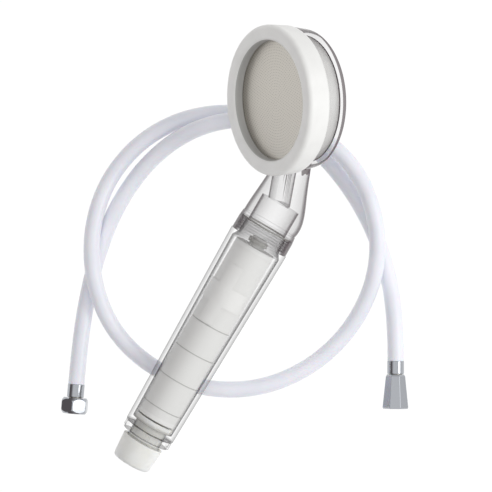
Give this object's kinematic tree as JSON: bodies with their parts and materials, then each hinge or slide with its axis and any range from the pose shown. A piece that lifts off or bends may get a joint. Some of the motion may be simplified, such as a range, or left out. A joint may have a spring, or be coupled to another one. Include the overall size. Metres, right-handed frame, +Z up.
{
  "type": "handheld shower head",
  "caption": "Handheld shower head with a clear screw-on filter handle, a white screw ring round a fine spray plate, and a loop of white hose with a swivel nut at each end.",
  "frame": {"origin": "centre of the end of the handset's threaded inlet", "axes": "+Z up off the table that the object lies on; +X along the table from the inlet towards the head; the handle rises 4 degrees from +X; the spray face looks up and to +Y"},
  "size_m": [0.2801, 0.2341, 0.1079],
  "materials": {
    "clear_plastic": "clear polished polycarbonate",
    "white_plastic": "fine satin moulding",
    "inner_white_plastic": "smooth satin moulding",
    "filter_media": "pressed white fibre",
    "milky_plastic": "translucent, soft sheen",
    "stainless_plate": "satin, finely perforated",
    "seal_rubber": "soft matte silicone",
    "white_hose": "smooth soft-gloss PVC",
    "chrome": "polished",
    "brass": "turned"
  },
  "bodies": {
    "hose": {"hose_tube": "white_hose", "hex_end_ferrule": "chrome", "hex_end_insert": "brass", "cone_end_ferrule": "chrome", "cone_end_insert": "brass"},
    "hex_nut": {"hex_nut": "chrome", "hex_nut_washer": "seal_rubber"},
    "cone_nut": {"cone_nut": "chrome", "cone_nut_washer": "seal_rubber"},
    "handset": {"head_shell": "clear_plastic", "diffuser_disc": "inner_white_plastic", "head_oring": "seal_rubber"},
    "spray_plate": {"spray_plate": "stainless_plate", "plate_gasket": "seal_rubber"},
    "front_ring": {"front_ring": "white_plastic"},
    "filter": {"cartridge_shell": "inner_white_plastic", "cartridge_media": "filter_media", "cartridge_core": "inner_white_plastic", "cartridge_top_cap": "inner_white_plastic", "cartridge_bottom_cap": "inner_white_plastic", "cartridge_top_seal": "seal_rubber", "cartridge_bottom_seal": "seal_rubber"},
    "handle": {"handle_tube": "clear_plastic", "inlet_collar": "clear_plastic", "inlet_spigot": "milky_plastic", "spigot_seal": "seal_rubber", "inlet_strainer": "stainless_plate", "neck_seal": "seal_rubber"},
    "inlet_cap": {"inlet_cap": "milky_plastic"}
  },
  "joints": [
    {"name": "handset_lift", "type": "slide", "parent": "hose", "child": "handset", "axis": [0, 0, 1], "range_m": [0, 0.08]},
    {"name": "filter_draw", "type": "slide", "parent": "handset", "child": "filter", "axis": [-0.9976, 0, -0.0698], "range_m": [0, 0.0096]},
    {"name": "handle_unscrew", "type": "hinge", "parent": "filter", "child": "handle", "pos_m": [0, 0, 0], "axis": [-0.9976, 0, -0.0698], "range_deg": [0, 1081]},
    {"name": "plate_draw", "type": "slide", "parent": "handset", "child": "spray_plate", "axis": [-0.4807, 0.6854, 0.547], "range_m": [0, 0.0075]},
    {"name": "ring_unscrew", "type": "hinge", "parent": "spray_plate", "child": "front_ring", "pos_m": [0.22878, 0.03773, 0.04796], "axis": [-0.4807, 0.6854, 0.547], "range_deg": [0, 1081]},
    {"name": "cap_pull", "type": "slide", "parent": "handle", "child": "inlet_cap", "axis": [-0.9976, 0, -0.0698], "range_m": [0, 0.025]},
    {"name": "hex_nut_spin", "type": "hinge", "parent": "hose", "child": "hex_nut", "pos_m": [0.023, 0.053, -0.01467], "axis": [-0.9041, -0.4269, 0.0201], "continuous": true},
    {"name": "cone_nut_spin", "type": "hinge", "parent": "hose", "child": "cone_nut", "pos_m": [0.1335, -0.1095, -0.01467], "axis": [-0.8681, -0.496, 0.0198], "continuous": true}
  ],
  "couplings": [
    {"joint": "handle_unscrew", "follows": "filter_draw", "rad_per_m": 1963.5},
    {"joint": "ring_unscrew", "follows": "plate_draw", "rad_per_m": 2513.3}
  ]
}
